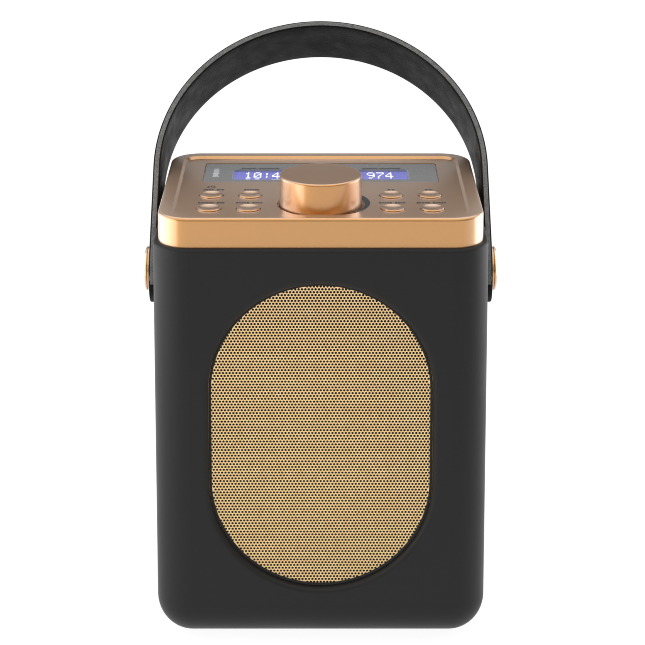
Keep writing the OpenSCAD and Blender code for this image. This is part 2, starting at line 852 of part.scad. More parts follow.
module encoder_plunger() {
  color(steel) translate([0, -knob_y, plunger_z0]) cylinder(r = 2.8, h = shaft_z0 - plunger_z0);
}

module encoder_shaft() {
  color(steel) translate([0, -knob_y, shaft_z0]) cylinder(r = shaft_r, h = knob_ceiling - shaft_z0 - 0.1);
}

module volume_knob() {
  r = knob_d / 2;
  color(copper) translate([0, -knob_y, 0]) difference() {
    rotate_extrude() edge_profile(r, knob_z0, knob_z1, 0, 0.6);
    difference() {
      translate([0, 0, knob_z0 - overshoot]) cylinder(r = r - 1.3, h = knob_ceiling - knob_z0 + overshoot);
      translate([0, 0, well_floor_z1 + 3.8]) cylinder(r = 5.2, h = 20);
    }
    translate([0, 0, knob_z0 - overshoot]) cylinder(r = shaft_r + 0.01, h = knob_ceiling - knob_z0 + overshoot);
  }
}

// ---------------------------------------------------------------- strap handle

side_x = body_w / 2;
strap_in = arch_r - strap_t;
head_h = 1.5;
shoulder_r = 3;
eyelet_r = 4.2;
strap_head_x = arch_r + gap;

module in_strap_frame() {
  translate([0, 0, pivot_z]) rotate([-strap_tilt, 0, 0]) children();
}

// Arch outline in the strap's own plane: x across, y from the pivot up to the crown
module arch_outline(r) {
  translate([0, leg_l]) circle(r);
  translate([-r, -2 * strap_w]) square([2 * r, leg_l + 2 * strap_w]);
}

module handle_strap() {
  reach = arch_r + overshoot;
  color([0.12, 0.12, 0.12]) in_strap_frame() difference() {
    intersection() {
      translate([0, strap_w / 2, 0]) rotate([90, 0, 0]) linear_extrude(strap_w) difference() {
        arch_outline(arch_r);
        arch_outline(strap_in);
      }
      translate([-reach, 0, 0]) rotate([90, 0, 90]) linear_extrude(2 * reach) {
        translate([0, -strap_tail]) circle(strap_w / 2);
        translate([-strap_w / 2, -strap_tail]) square([strap_w, leg_l + reach + strap_tail]);
      }
    }
    rod_x(eyelet_r, -body_w, body_w);
  }
}

module strap_eyelets() {
  color(steel) in_strap_frame() for (s = [-1, 1]) difference() {
    translate([s * (strap_in + strap_t / 2), 0, 0]) rod_x(eyelet_r, -strap_t / 2, strap_t / 2);
    rod_x(shoulder_r + gap, -body_w, body_w);
  }
}

// Shoulder screws: a flat head with a turned groove round its edge and a shallow recess in its
// face, the shoulder the strap turns on, and a thread through the wall
module strap_screws() {
  head_r = strap_head_d / 2;
  edge = 0.35;
  groove = 0.15;
  groove_z = head_h / 2;
  recess_r = head_r - 1.6;
  recess = 0.3;
  thread_r = 2;
  thread_end = inner_x - 5;
  color(copper) translate([0, 0, pivot_z]) for (s = [0, 1]) rotate([0, 0, 180 * s]) {
    translate([strap_head_x, 0, 0]) rotate([0, 90, 0]) rotate_extrude() difference() {
      polygon([[0, 0], [head_r, 0], [head_r, head_h - edge], [head_r - edge, head_h], [0, head_h]]);
      translate([head_r, groove_z]) circle(groove, $fn = 8);
      polygon([[-gap, head_h + gap], [-gap, head_h - recess], [recess_r, head_h - recess],
               [recess_r + recess + gap, head_h + gap]]);
    }
    rod_x(shoulder_r, side_x, strap_head_x);
    rod_x(thread_r, thread_end, side_x);
  }
}

module strap_washers() {
  washer_t = strap_in - side_x - 0.1;
  color(plastic_black) translate([0, 0, pivot_z]) for (s = [0, 1]) rotate([0, 0, 180 * s]) difference() {
    rod_x(6.5, side_x, side_x + washer_t);
    rod_x(shoulder_r + gap, 0, body_w);
  }
}

module strap_nuts() {
  color(steel) translate([0, 0, pivot_z]) for (s = [0, 1]) rotate([0, 0, 180 * s]) difference() {
    union() {
      rod_x(4.5, inner_x - 0.8, inner_x);
      translate([inner_x - 4, 0, 0]) rotate([0, 90, 0]) cylinder(r = 4.04, h = 3.2, $fn = 6);
    }
    rod_x(strap_hole_r, 0, body_w);
  }
}

// ---------------------------------------------------------------- electronics and battery

module main_board() {
  color(board_green) difference() {
    translate([-board_x, board_front, board_z0]) cube([2 * board_x, board_t, board_z1 - board_z0]);
    at_each(board_post_places) rod_y(1.1, 0, body_d);
  }
}

module tuner_shield() {
  color(steel) translate([2, board_front - 4, 70]) cube([24, 4, 28]);
}

// 3.5 mm socket on the back of the main board, with its barrel in the rear panel
module jack(x) {
  bore_r = 1.75;
  nose = inner_y + rear_t - 0.2;
  color(plastic_black) translate([x, 0, jack_z]) difference() {
    union() {
      translate([-4, board_back, -3.5]) cube([8, inner_y - board_back - 0.4, 7]);
      rod_y(jack_barrel_r, board_back + overshoot, nose);
    }
    rod_y(bore_r, board_back + 0.4, nose + overshoot);
  }
}

module audio_jacks() {
  jack(headphone_x);
  jack(line_x);
}

// Metal shell of the charging socket, with its contact tongue
module usb_socket() {
  usb_wall = 0.35;
  nose = inner_y + rear_t - 0.2;
  color(steel) translate([usb_x, 0, jack_z]) difference() {
    along_y(board_back, nose) rounded_plan(usb_w, usb_h, usb_h / 2 - gap);
    difference() {
      along_y(board_back + overshoot, nose + overshoot)
        rounded_plan(usb_w - 2 * usb_wall, usb_h - 2 * usb_wall, usb_h / 2 - usb_wall - gap);
      along_y(board_back, nose - 0.8) square([usb_w - 3.4, 0.8], center = true);
    }
  }
}

cell_r = 9.1;
cell_l = 65;
cell_pitch = 18.6;
tray_w = 71;
tray_d = 40;
tray_wall = 1.5;

module battery_tray() {
  color(plastic_black) translate([0, tray_y, 0]) difference() {
    union() {
      translate([-tray_w / 2, -tray_d / 2, floor_z]) cube([tray_w, tray_d, 11]);
      for (s = [0, 1]) rotate([0, 0, 180 * s]) {
        translate([tray_lug_x, 0, tray_lug_z]) cylinder(r = 3.2, h = tray_lug_t);
        translate([tray_w / 2 - 1, -3.2, tray_lug_z]) cube([tray_lug_x - tray_w / 2 + 1, 6.4, tray_lug_t]);
      }
    }
    translate([-tray_w / 2 + tray_wall, -tray_d / 2 + 1, floor_z + tray_wall])
      cube([tray_w - 2 * tray_wall, tray_d - 2, 20]);
    for (s = [-1, 1]) translate([s * tray_lug_x, 0, 0]) cylinder(r = clear_r, h = 30);
  }
}

module battery_cells() {
  color([0.20, 0.45, 0.65]) for (s = [-1, 1])
    translate([0, tray_y + s * cell_pitch / 2, floor_z + tray_wall + cell_r]) {
      rod_x(cell_r - 0.05, -cell_l / 2, cell_l / 2);
      rod_x(3, cell_l / 2, cell_l / 2 + 1.2);
    }
}

// ---------------------------------------------------------------- telescopic aerial

spindle_r = 1.5;
swivel_y0 = body_d / 2 + 0.85;
swivel_r = 4.5;
mast_y = 41.6;
pin_drop = 9.5;
mast_drop = 14;
stage_radii = [2.5, 2, 1.55, 1.1];
stage_wall = 0.4;
tip_h = 4;

module at_aerial() {
  translate([aerial_x, 0, aerial_z]) children();
}

// Bush through the rear panel, with the spindle that the aerial swivels on
module aerial_mount() {
  color(steel) at_aerial() {
    rod_y(aerial_bush_r, inner_y - 3, body_d / 2);
    rod_y(4, inner_y + rear_t, swivel_y0 - gap);
    rod_y(spindle_r, body_d / 2, swivel_y0 + 3.2);
    rod_y(2.3, swivel_y0 + 2.75, swivel_y0 + 3.4);
    rod_y(4, inner_y - 2.6, inner_y);
  }
}

module aerial_swivel() {
  ear_in = 1.7;
  ear_t = 1.7;
  ear_r = 2.3;
  color(steel) at_aerial() {
    difference() {
      rod_y(swivel_r, swivel_y0, swivel_y0 + 2.7);
      rod_y(spindle_r + gap, 0, body_d);
    }
    for (x = [-ear_in - ear_t, ear_in]) difference() {
      union() {
        translate([x, mast_y - ear_r, -pin_drop]) cube([ear_t, 2 * ear_r, pin_drop - 3.6]);
        translate([0, mast_y, -pin_drop]) rod_x(ear_r, x, x + ear_t);
      }
      rod_y(3.9, swivel_y0 + 2.7, body_d);
    }
    translate([0, mast_y, -pin_drop]) rod_x(1, -ear_in - ear_t, ear_in + ear_t);
  }
}

module aerial_mast() {
  tongue = 3.2;
  color(steel) at_aerial() translate([0, mast_y, 0]) {
    difference() {
      union() {
        translate([0, 0, -pin_drop]) rod_x(2.2, -tongue / 2, tongue / 2);
        translate([-tongue / 2, -2.2, -mast_drop - 1]) cube([tongue, 4.4, mast_drop + 1 - pin_drop]);
        translate([0, 0, -mast_drop - stage_l]) cylinder(r = stage_radii[0], h = stage_l);
      }
      translate([0, 0, -pin_drop]) rod_x(1 + gap, -body_w, body_w);
      translate([0, 0, -mast_drop - stage_l - overshoot])
        cylinder(r = stage_radii[0] - stage_wall, h = stage_l - 1);
    }
  }
}

// Telescopic stage i, closed at its upper end, nested in the one before
module stage(i) {
  l = stage_l - 1 - 2 * i;
  color(steel) at_aerial() translate([0, mast_y, -mast_drop - stage_l]) difference() {
    cylinder(r = stage_radii[i], h = l);
    if (i < 3) translate([0, 0, -overshoot]) cylinder(r = stage_radii[i] - stage_wall + gap, h = l);
  }
}

module aerial_stage_2() {
  stage(1);
}

module aerial_stage_3() {
  stage(2);
}

module aerial_stage_4() {
  stage(3);
  color(steel) at_aerial() translate([0, mast_y, -mast_drop - stage_l - tip_h]) {
    cylinder(r = 2.4, h = tip_h - gap);
    cylinder(r = stage_radii[3], h = tip_h + overshoot);
  }
}

cabinet_shell();
foot_pad();
rear_panel();
rear_screws();
front_grille();
grille_cloth();
speaker_baffle();
case_screws();
speaker_basket();
speaker_magnet();
voice_coil();
speaker_cone();
speaker_surround();
dust_cap();
passive_frame();
passive_surround();
passive_plate();
speaker_screws();
speaker_leads();
top_cap();
cap_screws();
display_window();
display_lens();
lcd_glass();
lcd_backlight();
lcd_carrier();
control_board();
board_screws();
tact_switches();
ribbon_cable();
encoder_body();
encoder_nut();
encoder_plunger();
encoder_shaft();
volume_knob();
button(0);  // button_left_outer_front
button(1);  // button_left_inner_front
button(2);  // button_right_inner_front
button(3);  // button_right_outer_front
button(4);  // button_left_outer_back
button(5);  // button_left_inner_back
button(6);  // button_right_inner_back
button(7);  // button_right_outer_back
handle_strap();
strap_eyelets();
strap_screws();
strap_washers();
strap_nuts();
main_board();
tuner_shield();
audio_jacks();
usb_socket();
battery_tray();
battery_cells();
aerial_mount();
aerial_swivel();
aerial_mast();
aerial_stage_2();
aerial_stage_3();
aerial_stage_4();
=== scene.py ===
"""Looks of a portable radio: matt black cabinet, copper cap with knob and buttons, leather strap.

Lengths are in metres, in the CAD model's frame: +Z up, the front towards -Y, origin at the
centre of the resting plane. Places come from the CAD nodes' boxes.
"""
import json
import math

import bmesh
import bpy
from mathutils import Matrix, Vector
from mathutils.geometry import delaunay_2d_cdt


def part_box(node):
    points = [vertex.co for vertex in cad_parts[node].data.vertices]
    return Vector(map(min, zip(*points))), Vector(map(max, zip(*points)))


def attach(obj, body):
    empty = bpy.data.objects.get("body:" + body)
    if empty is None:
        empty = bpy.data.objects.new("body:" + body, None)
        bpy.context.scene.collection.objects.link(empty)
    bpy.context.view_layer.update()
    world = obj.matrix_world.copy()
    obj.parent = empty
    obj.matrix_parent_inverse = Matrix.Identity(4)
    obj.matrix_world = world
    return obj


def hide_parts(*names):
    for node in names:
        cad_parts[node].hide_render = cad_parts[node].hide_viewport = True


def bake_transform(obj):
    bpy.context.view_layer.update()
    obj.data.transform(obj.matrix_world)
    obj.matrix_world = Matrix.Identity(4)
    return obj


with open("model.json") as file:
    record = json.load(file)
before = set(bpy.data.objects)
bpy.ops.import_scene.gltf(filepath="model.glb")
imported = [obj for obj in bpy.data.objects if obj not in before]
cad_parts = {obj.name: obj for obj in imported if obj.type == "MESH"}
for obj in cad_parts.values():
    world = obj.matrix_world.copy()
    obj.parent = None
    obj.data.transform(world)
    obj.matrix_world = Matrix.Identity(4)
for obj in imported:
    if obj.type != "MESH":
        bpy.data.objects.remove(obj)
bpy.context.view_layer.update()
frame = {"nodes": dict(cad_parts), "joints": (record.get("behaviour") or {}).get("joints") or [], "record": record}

mm = 0.001
scene = bpy.context.scene
slot_of = {part["node"]: part["material_slot"] for part in frame["record"]["subparts"]}
joint_of = {joint["name"]: joint for joint in frame["joints"]}


# ------------------------------------------------------------------ node materials

class Look:
    """A node material with one Principled shader, built up from small procedural steps."""

    def __init__(self, name, colour, roughness, metallic=0.0, **inputs):
        self.material = bpy.data.materials.new(name)
        self.material.use_nodes = True
        self.nodes = self.material.node_tree.nodes
        self.links = self.material.node_tree.links
        self.shader = self.nodes["Principled BSDF"]
        self.place = self.nodes.new("ShaderNodeTexCoord").outputs["Object"]
        self.set("Base Color", (*colour, 1.0))
        self.set("Roughness", roughness)
        self.set("Metallic", metallic)
        for key, value in inputs.items():
            self.set(key.replace("_", " "), value)

    def set(self, socket, value):
        """Gives an input of the shader a value, or links a node's output to it."""
        self.plug(self.shader.inputs[socket], value)

    def plug(self, socket, value):
        if isinstance(value, bpy.types.NodeSocket):
            self.links.new(value, socket)
        else:
            socket.default_value = value

    def stretched(self, scale):
        """The object's coordinates, scaled by a different amount along each axis."""
        node = self.nodes.new("ShaderNodeMapping")
        self.links.new(self.place, node.inputs["Vector"])
        node.inputs["Scale"].default_value = scale
        return node.outputs["Vector"]

    def noise(self, grain, detail=3.0, along=(1, 1, 1)):
        """Smooth noise whose spots are about grain metres across."""
        node = self.nodes.new("ShaderNodeTexNoise")
        self.links.new(self.stretched([a / grain for a in along]), node.inputs["Vector"])
        node.inputs["Scale"].default_value = 1.0
        node.inputs["Detail"].default_value = detail
        return node.outputs["Fac"]

    def cells(self, size, feature="F1"):
        """Distance to the nearest point of a scatter of points about size metres apart."""
        node = self.nodes.new("ShaderNodeTexVoronoi")
        self.links.new(self.stretched([1 / size] * 3), node.inputs["Vector"])
        node.inputs["Scale"].default_value = 1.0
        node.feature = feature
        return node.outputs["Distance"]

    def sum(self, operation, a, b=0.0):
        node = self.nodes.new("ShaderNodeMath")
        node.operation = operation
        self.plug(node.inputs[0], a)
        self.plug(node.inputs[1], b)
        return node.outputs["Value"]

    def spread(self, value, low, high, start=0.0, end=1.0):
        """Maps value from start..end to low..high."""
        node = self.nodes.new("ShaderNodeMapRange")
        self.plug(node.inputs["Value"], value)
        node.inputs["From Min"].default_value = start
        node.inputs["From Max"].default_value = end
        node.inputs["To Min"].default_value = low
        node.inputs["To Max"].default_value = high
        return node.outputs["Result"]

    def axis(self, letter, origin=0.0):
        """One coordinate of the object's space, measured from origin."""
        node = self.nodes.new("ShaderNodeSeparateXYZ")
        self.links.new(self.place, node.inputs["Vector"])
        return self.sum("SUBTRACT", node.outputs[letter], origin)

    def waves(self, value, pitch):
        """A sine of value, from 0 to 1, that repeats every pitch metres."""
        turn = self.sum("MULTIPLY", value, 2 * math.pi / pitch)
        return self.sum("MULTIPLY_ADD", self.sum("SINE", turn), 0.5)

    def two_tone(self, fac, dark, light):
        """Base colour that runs from dark to light with fac."""
        node = self.nodes.new("ShaderNodeMix")
        node.data_type = "RGBA"
        self.plug(node.inputs["Factor"], fac)
        plugs = {plug.name: plug for plug in node.inputs if plug.type == "RGBA"}
        plugs["A"].default_value = (*dark, 1.0)
        plugs["B"].default_value = (*light, 1.0)
        result = next(plug for plug in node.outputs if plug.name == "Result" and plug.type == "RGBA")
        self.set("Base Color", result)
        return result

    def painted_slant_reflection(self, tone, pale, most):
        """Painted reflection: turns the base colour from tone to pale where the surface is seen at a slant,
        standing in for the bright surroundings reflected there.
        """
        slant = self.nodes.new("ShaderNodeLayerWeight").outputs["Facing"]
        node = self.nodes.new("ShaderNodeMix")
        node.data_type = "RGBA"
        start, end = 0.12, 0.6
        self.plug(node.inputs["Factor"], self.spread(slant, 0.0, most, start, end))
        self.plug(next(plug for plug in node.inputs if plug.name == "A" and plug.type == "RGBA"), tone)
        pale_plug = next(plug for plug in node.inputs if plug.name == "B" and plug.type == "RGBA")
        pale_plug.default_value = (*pale, 1.0)
        mixed = next(plug for plug in node.outputs if plug.name == "Result" and plug.type == "RGBA")
        self.set("Base Color", mixed)

    def bump(self, height, depth, strength=1.0):
        node = self.nodes.new("ShaderNodeBump")
        self.plug(node.inputs["Height"], height)
        node.inputs["Distance"].default_value = depth
        node.inputs["Strength"].default_value = strength
        self.set("Normal", node.outputs["Normal"])


flake_share = 0.8
# Tint and share of the painted reflection that pales the copper where it is seen at a slant.
painted_reflection_tint = (0.76, 0.55, 0.42)
painted_reflection_share = 0.75


def scaled(colour, share):
    return tuple(min(1.0, channel * share) for channel in colour)


def soft_touch():
    """Rubberised matt black paint over moulded plastic: a faint orange peel, slightly polished in patches."""
    look = Look("soft_touch_black", (0.022, 0.022, 0.022), 0.5, Specular_IOR_Level=0.2)
    patches = look.noise(22 * mm, 2.0)
    look.two_tone(patches, (0.0145, 0.0145, 0.0147), (0.017, 0.017, 0.0168))
    look.set("Roughness", look.spread(patches, 0.42, 0.5, 0.3, 0.7))
    look.bump(look.noise(0.35 * mm), 0.006 * mm)
    return look.material


def lacquered(name, colour, roughness):
    """Metallic paint under a satin clear coat."""
    return Look(name, colour, roughness, flake_share, Coat_Weight=1.0, Coat_Roughness=0.2,
                Coat_IOR=2.0)


def copper(name, colour, roughness, flake=0.28 * mm):
    """Satin copper finish: fine metal flakes that differ a little in tone and gloss."""
    look = lacquered(name, colour, roughness)
    flakes = look.noise(flake, 4.0)
    mottle = look.spread(flakes, 0, 1, 0.32, 0.68)
    tone = look.two_tone(mottle, scaled(colour, 0.9), scaled(colour, 1.08))
    # Painted reflection: the copper pales towards a light tint where it is seen at a slant.
    look.painted_slant_reflection(tone, painted_reflection_tint, painted_reflection_share)
    look.set("Roughness", look.spread(flakes, roughness - 0.05, roughness + 0.07, 0.3, 0.7))
    look.bump(flakes, 0.004 * mm)
    return look.material


def turned_copper(name, colour, roughness, centre):
    """Copper turned on a lathe: fine rings about an upright axis through centre."""
    look = lacquered(name, colour, roughness)
    x = look.axis("X", centre.x)
    y = look.axis("Y", centre.y)
    radius = look.sum("SQRT", look.sum("ADD", look.sum("MULTIPLY", x, x), look.sum("MULTIPLY", y, y)))
    flakes = look.noise(0.3 * mm, 4.0)
    rings = look.waves(radius, 0.16 * mm)
    mottle = look.spread(flakes, 0, 1, 0.3, 0.7)
    tone = look.two_tone(mottle, scaled(colour, 0.92), scaled(colour, 1.07))
    # Painted reflection: the turned copper pales towards a light tint where it is seen at a slant.
    look.painted_slant_reflection(tone, painted_reflection_tint, painted_reflection_share)
    look.set("Roughness", look.spread(flakes, roughness - 0.04, roughness + 0.06, 0.3, 0.7))
    look.bump(look.sum("ADD", look.sum("MULTIPLY", rings, 0.5), flakes), 0.003 * mm)
    return look.material


def grille_metal():
    """Anodised gold sheet, with a slight change of tone from hole to hole."""
    colour = (0.93, 0.66, 0.33)
    look = Look("grille_gold", colour, 0.36, 1.0)
    tone = look.noise(1.4 * mm, 3.0)
    look.two_tone(look.spread(tone, 0, 1, 0.3, 0.7), (0.88, 0.60, 0.28), (0.97, 0.73, 0.42))
    look.set("Roughness", look.spread(tone, 0.3, 0.44, 0.3, 0.7))
    look.bump(look.noise(0.1 * mm), 0.002 * mm)
    return look.material


def woven(name, colour, thread):
    """Plain weave of threads that run along X and Z."""
    look = Look(name, colour, 0.9, Sheen_Weight=0.2)
    across = look.waves(look.axis("X"), 2 * thread)
    upward = look.waves(look.axis("Z"), 2 * thread)
    weave = look.sum("MULTIPLY", across, upward)
    look.two_tone(weave, scaled(colour, 0.5), scaled(colour, 1.5))
    look.bump(weave, thread * 0.3)
    return look.material


def leather_face():
    """Finished side of the strap: fine pebble grain with darker creases and a few soft wrinkles."""
    look = Look("strap_leather", (0.009, 0.009, 0.009), 0.55, Specular_IOR_Level=0.12)
    pebbles = look.cells(0.55 * mm)
    wrinkles = look.noise(5 * mm, 5.0)
    look.two_tone(look.spread(pebbles, 0, 1, 0.1, 0.75), (0.009, 0.0086, 0.0086), (0.004, 0.0039, 0.0039))
    look.set("Roughness", look.spread(wrinkles, 0.46, 0.64, 0.3, 0.7))
    grain = look.sum("SUBTRACT", look.sum("MULTIPLY", wrinkles, 1.5), pebbles)
    look.bump(grain, 0.05 * mm)
    return look.material


def leather_edge():
    """Cut and painted edge of the strap: lighter, with the mottled fibre showing through."""
    look = Look("strap_edge", (0.1, 0.1, 0.1), 0.62, Specular_IOR_Level=0.3)
    fibre = look.noise(0.35 * mm, 6.0)
    blots = look.noise(1.6 * mm, 3.0)
    mottled = look.sum("ADD", look.sum("MULTIPLY", fibre, 0.7), look.sum("MULTIPLY", blots, 0.3))
    look.two_tone(look.spread(mottled, 0, 1, 0.36, 0.64), (0.08, 0.08, 0.08), (0.22, 0.217, 0.213))
    look.bump(fibre, 0.06 * mm)
    return look.material


def rubber(name, colour):
    look = Look(name, colour, 0.8, Specular_IOR_Level=0.3)
    dust = look.noise(2.5 * mm, 5.0)
    look.two_tone(dust, scaled(colour, 0.7), scaled(colour, 1.5))
    look.set("Roughness", look.spread(dust, 0.7, 0.92, 0.3, 0.7))
    look.bump(look.noise(0.25 * mm), 0.02 * mm)
    return look.material


def moulded(name, colour, roughness=0.45, grain=0.3 * mm):
    """Moulded plastic with a spark-eroded texture."""
    look = Look(name, colour, roughness, Specular_IOR_Level=0.4)
    cloud = look.noise(9 * mm, 2.0)
    look.two_tone(cloud, scaled(colour, 0.85), scaled(colour, 1.15))
    look.set("Roughness", look.spread(cloud, roughness - 0.06, roughness + 0.08, 0.3, 0.7))
    look.bump(look.noise(grain), 0.01 * mm)
    return look.material


def window_plate():
    """Glossy grey window plate, with faint dust under the lacquer."""
    look = Look("window_grey", (0.2, 0.2, 0.205), 0.25, Coat_Weight=0.4, Coat_Roughness=0.1)
    dust = look.noise(0.8 * mm, 5.0)
    look.two_tone(look.spread(dust, 0, 1, 0.35, 0.65), (0.185, 0.187, 0.19), (0.215, 0.215, 0.22))
    look.set("Roughness", look.spread(dust, 0.16, 0.28, 0.3, 0.7))
    return look.material


def lens():
    """Clear lens with a trace of wiping marks."""
    look = Look("lens_clear", (0.75, 0.8, 0.9), 0.05, Specular_IOR_Level=0.5)
    look.set("Alpha", look.spread(look.noise(4 * mm, 4.0, (1, 4, 1)), 0.04, 0.08, 0.3, 0.7))
    look.material.surface_render_method = "BLENDED"
    return look.material


def liquid_crystal():
    """Lit blue panel with a fine dot grid."""
    look = Look("lcd_blue", (0.11, 0.11, 0.45), 0.3)
    dot = 0.5 * mm
    grid = look.sum("MULTIPLY", look.waves(look.axis("X"), dot), look.waves(look.axis("Y"), 2 * dot))
    blue = look.two_tone(look.spread(grid, 0, 1), (0.10, 0.10, 0.42), (0.15, 0.15, 0.53))
    look.set("Emission Color", blue)
    look.set("Emission Strength", 0.5)
    return look.material


def printed(name, colour, glow=0.0):
    """Screen-printed ink, slightly uneven at its thinnest."""
    look = Look(name, colour, 0.5)
    spots = look.noise(0.2 * mm, 4.0)
    ink = look.two_tone(look.spread(spots, 0, 1, 0.3, 0.7), scaled(colour, 0.85), scaled(colour, 1.1))
    if glow:
        look.set("Emission Color", ink)
        look.set("Emission Strength", glow)
    return look.material


def drawn_metal(name, colour, roughness, along):
    """Metal with fine draw marks that run along the axis whose stretch is smallest."""
    look = Look(name, colour, roughness, 1.0)
    marks = look.noise(0.25 * mm, 4.0, along)
    look.two_tone(look.spread(marks, 0, 1, 0.3, 0.7), scaled(colour, 0.9), scaled(colour, 1.06))
    look.set("Roughness", look.spread(marks, roughness - 0.05, roughness + 0.1, 0.3, 0.7))
    look.bump(marks, 0.003 * mm)
    return look.material


def cast_magnet():
    look = Look("magnet_iron", (0.05, 0.05, 0.055), 0.65, 0.6)
    pits = look.cells(0.6 * mm)
    look.two_tone(pits, (0.035, 0.035, 0.04), (0.075, 0.075, 0.08))
    look.bump(pits, 0.05 * mm)
    return look.material


def coil_winding():
    """Enamelled wire wound side by side round an axis along Y."""
    look = Look("coil_copper", (0.72, 0.36, 0.18), 0.3, 1.0)
    turns = look.waves(look.axis("Y"), 0.24 * mm)
    look.two_tone(turns, (0.45, 0.19, 0.08), (0.8, 0.43, 0.22))
    look.bump(turns, 0.06 * mm)
    return look.material


def circuit_board():
    """Green solder mask with paler copper tracks under it."""
    look = Look("board_green", (0.02, 0.12, 0.05), 0.3, Specular_IOR_Level=0.5)
    tracks = look.sum("LESS_THAN", look.cells(3.5 * mm, "DISTANCE_TO_EDGE"), 0.09)
    look.two_tone(tracks, (0.012, 0.09, 0.04), (0.05, 0.24, 0.09))
    look.bump(tracks, 0.03 * mm)
    return look.material


def ribbon():
    """Flat cable: parallel conductors along Z."""
    look = Look("ribbon_white", (0.75, 0.75, 0.7), 0.4)
    wires = look.waves(look.axis("X"), 1.0 * mm)
    look.two_tone(wires, (0.45, 0.45, 0.42), (0.82, 0.82, 0.78))
    look.bump(wires, 0.15 * mm)
    return look.material


def shrink_wrap():
    """Blue sleeve of a cell, with shallow creases round it."""
    look = Look("cell_wrap", (0.05, 0.15, 0.34), 0.25, Coat_Weight=0.3)
    creases = look.noise(3 * mm, 4.0, (0.3, 1, 1))
    look.two_tone(creases, (0.035, 0.11, 0.27), (0.07, 0.2, 0.42))
    look.bump(creases, 0.1 * mm)
    return look.material


knob_low, knob_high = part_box("volume_knob")
knob_centre = (knob_low + knob_high) / 2
copper_tone = (0.58, 0.25, 0.025)
knob_tone = (0.60, 0.245, 0.02)
edge_leather = leather_edge()
print_pale = printed("print_pale", (0.62, 0.64, 0.66))
# Painted highlight: a lighter blue-grey for the window plate's bevelled edge, standing in for light caught on the
# bevel.
painted_bevel_highlight = moulded("window_bevel_painted_highlight", (0.30, 0.35, 0.40), 0.3)
print_dark = printed("print_dark", (0.035, 0.038, 0.045))
looks = {
    "soft_touch_black": soft_touch(),
    "copper_cap": copper("copper_cap", copper_tone, 0.34),
    "copper_knob": turned_copper("copper_knob", knob_tone, 0.33, knob_centre),
    "copper_button": copper("copper_button", copper_tone, 0.3, 0.2 * mm),
    "copper_screw": copper("copper_screw", (0.62, 0.29, 0.05), 0.28, 0.4 * mm),
    "grille_gold": grille_metal(),
    "speaker_cloth": woven("speaker_cloth", (0.006, 0.006, 0.006), 0.3 * mm),
    "black_plastic": moulded("black_plastic", (0.02, 0.02, 0.022)),
    "foot_rubber": rubber("foot_rubber", (0.02, 0.02, 0.02)),
    "roll_rubber": rubber("roll_rubber", (0.015, 0.015, 0.016)),
    "strap_leather": leather_face(),
    "plated_steel": drawn_metal("plated_steel", (0.62, 0.62, 0.63), 0.24, (1, 1, 0.08)),
    "magnet_iron": cast_magnet(),
    "coil_copper": coil_winding(),
    "cone_paper": moulded("cone_paper", (0.03, 0.03, 0.032), 0.7, 0.8 * mm),
    "window_grey": window_plate(),
    "lens_clear": lens(),
    "lcd_blue": liquid_crystal(),
    "light_guide": moulded("light_guide", (0.8, 0.84, 0.88), 0.25),
    "board_green": circuit_board(),
    "ribbon_white": ribbon(),
    "wire_red": moulded("wire_red", (0.45, 0.02, 0.02), 0.3, 1.2 * mm),
    "cell_wrap": shrink_wrap(),
}


def dress_cad_nodes():
    for name, node in frame["nodes"].items():
        for place in node.material_slots:
            place.material = looks[slot_of[name]]


# ------------------------------------------------------------------ meshes

def piece(name, verts, faces, body, slot, material=None, sharp=35.0):
    """Makes a mesh object from points and faces, welded, smooth below the sharp angle, on a body.
    A piece with body None is left on no body."""
    mesh = bpy.data.meshes.new(name)
    mesh.from_pydata(verts, [], faces)
    tidy = bmesh.new()
    tidy.from_mesh(mesh)
    bmesh.ops.remove_doubles(tidy, verts=tidy.verts, dist=0.0005 * mm)
    bmesh.ops.recalc_face_normals(tidy, faces=tidy.faces)
    tidy.to_mesh(mesh)
    tidy.free()
    mesh.shade_smooth()
    mesh.set_sharp_from_angle(angle=math.radians(sharp))
    mesh.materials.append(material or looks[slot])
    made = bpy.data.objects.new(name, mesh)
    scene.collection.objects.link(made)
    if body:
        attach(made, body)
    return made


def arc(centre, radius, start, end, steps):
    """Points along an arc, with angles in degrees."""
    turns = [math.radians(start + (end - start) * i / steps) for i in range(steps + 1)]
    return [(centre[0] + radius * math.cos(t), centre[1] + radius * math.sin(t)) for t in turns]


def stadium(radius, straight, steps):
    """Upright outline with two round ends, anticlockwise."""
    top = arc((0, straight), radius, 0, 180, steps)
    return top + [(-x, -y) for x, y in top]


def rounded_rectangle(width, depth, radius, steps=6):
    x, y = width / 2 - radius, depth / 2 - radius
    corners = [(x, y, 0), (-x, y, 90), (-x, -y, 180), (x, -y, 270)]
    return [p for cx, cy, start in corners for p in arc((cx, cy), radius, start, start + 90, steps)]


def loft(rings):
    """Quads between neighbouring rings of equal length, as faces over the rings' points in order."""
    count = len(rings[0])
    faces = []
    for r in range(len(rings) - 1):
        for i in range(count):
            j = (i + 1) % count
            faces.append((r * count + i, r * count + j, (r + 1) * count + j, (r + 1) * count + i))
    return faces


